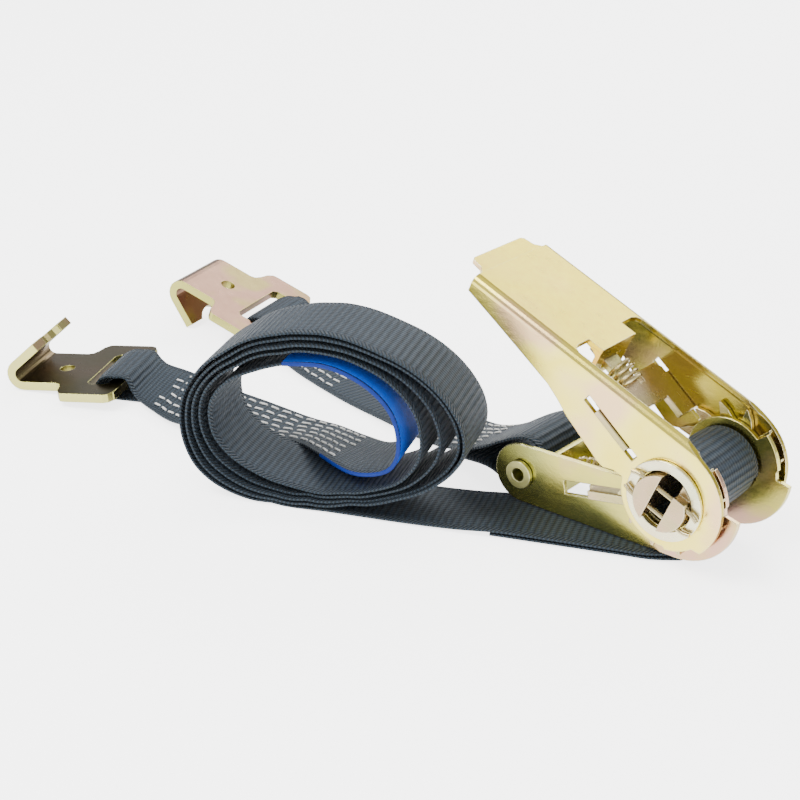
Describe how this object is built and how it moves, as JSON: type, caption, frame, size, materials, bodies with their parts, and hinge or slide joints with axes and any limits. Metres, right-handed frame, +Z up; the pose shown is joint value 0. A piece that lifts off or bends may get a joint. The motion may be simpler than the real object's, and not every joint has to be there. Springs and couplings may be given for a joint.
{
  "type": "ratchet tie down",
  "caption": "Ratchet tie-down: a sprung-pawl ratchet handle winds flat polyester webbing onto a slotted spool, between flat steel hooks for trailer or pickup anchor rails",
  "frame": {"origin": "bottom centre of the bounding box, on the floor", "axes": "+X along the ratchet frame from its bolt end to its spool end, +Y along the spool axis away from the viewer's side, +Z up"},
  "size_m": [0.2712, 0.1358, 0.0738],
  "materials": {
    "zinc_plate": "yellow zinc-plated pressed steel, faint green and pink iridescence",
    "zinc_bright": "pale zinc-plated turned and stamped steel",
    "spring_steel": "plated spring wire",
    "webbing": "dark slate woven polyester webbing",
    "label": "blue woven label, no print"
  },
  "bodies": {
    "frame": {"frame_plate_near": "zinc_plate", "frame_plate_far": "zinc_plate", "frame_bridge": "zinc_plate", "frame_bolt": "zinc_bright", "strap_run": "webbing", "strap_tail": "webbing", "strap_roll": "webbing", "strap_inner": "webbing", "short_strap": "webbing", "label": "label", "lock_spring": "spring_steel"},
    "spool": {"spool_half_a": "zinc_bright", "spool_half_b": "zinc_bright", "gear_near": "zinc_bright", "gear_far": "zinc_bright", "disc_near": "zinc_bright", "disc_far": "zinc_bright", "pin_near_1": "spring_steel", "pin_near_2": "spring_steel", "pin_far_1": "spring_steel", "pin_far_2": "spring_steel", "spool_webbing": "webbing"},
    "handle": {"handle": "zinc_plate", "drive_spring": "spring_steel"},
    "drive_pawl": {"drive_pawl": "zinc_plate"},
    "lock_pawl": {"lock_pawl": "zinc_plate"},
    "hook_1": {"hook_1": "zinc_plate"},
    "hook_2": {"hook_2": "zinc_plate"}
  },
  "joints": [
    {"name": "handle_hinge", "type": "hinge", "parent": "frame", "child": "handle", "pos_m": [0.11477, 0.00264, 0.02181], "axis": [0, 1, 0], "range_deg": [-12, 140]},
    {"name": "spool_spin", "type": "hinge", "parent": "frame", "child": "spool", "pos_m": [0.11477, 0.00264, 0.02181], "axis": [0, 1, 0], "continuous": true},
    {"name": "drive_pawl_slide", "type": "slide", "parent": "handle", "child": "drive_pawl", "axis": [-0.766, 0, 0.6428], "range_m": [0, 0.0045], "stiffness_N_per_m": 400, "springref_m": -0.004, "deforming": ["drive_spring"]},
    {"name": "lock_pawl_slide", "type": "slide", "parent": "frame", "child": "lock_pawl", "axis": [-0.9848, 0, -0.1736], "range_m": [-0.0006, 0.0056], "deforming": ["lock_spring"]},
    {"name": "hook_1_hinge", "type": "hinge", "parent": "frame", "child": "hook_1", "pos_m": [-0.09423, -0.02366, 0.00461], "axis": [-0.4099, 0.9121, 0], "range_deg": [-45, 70]},
    {"name": "hook_2_hinge", "type": "hinge", "parent": "frame", "child": "hook_2", "pos_m": [-0.09043, 0.04634, 0.00501], "axis": [-0.2062, 0.9785, 0], "range_deg": [-45, 50]}
  ],
  "couplings": [
    {"joint": "lock_pawl_slide", "follows": "handle_hinge", "m_per_rad": 0.00225}
  ]
}
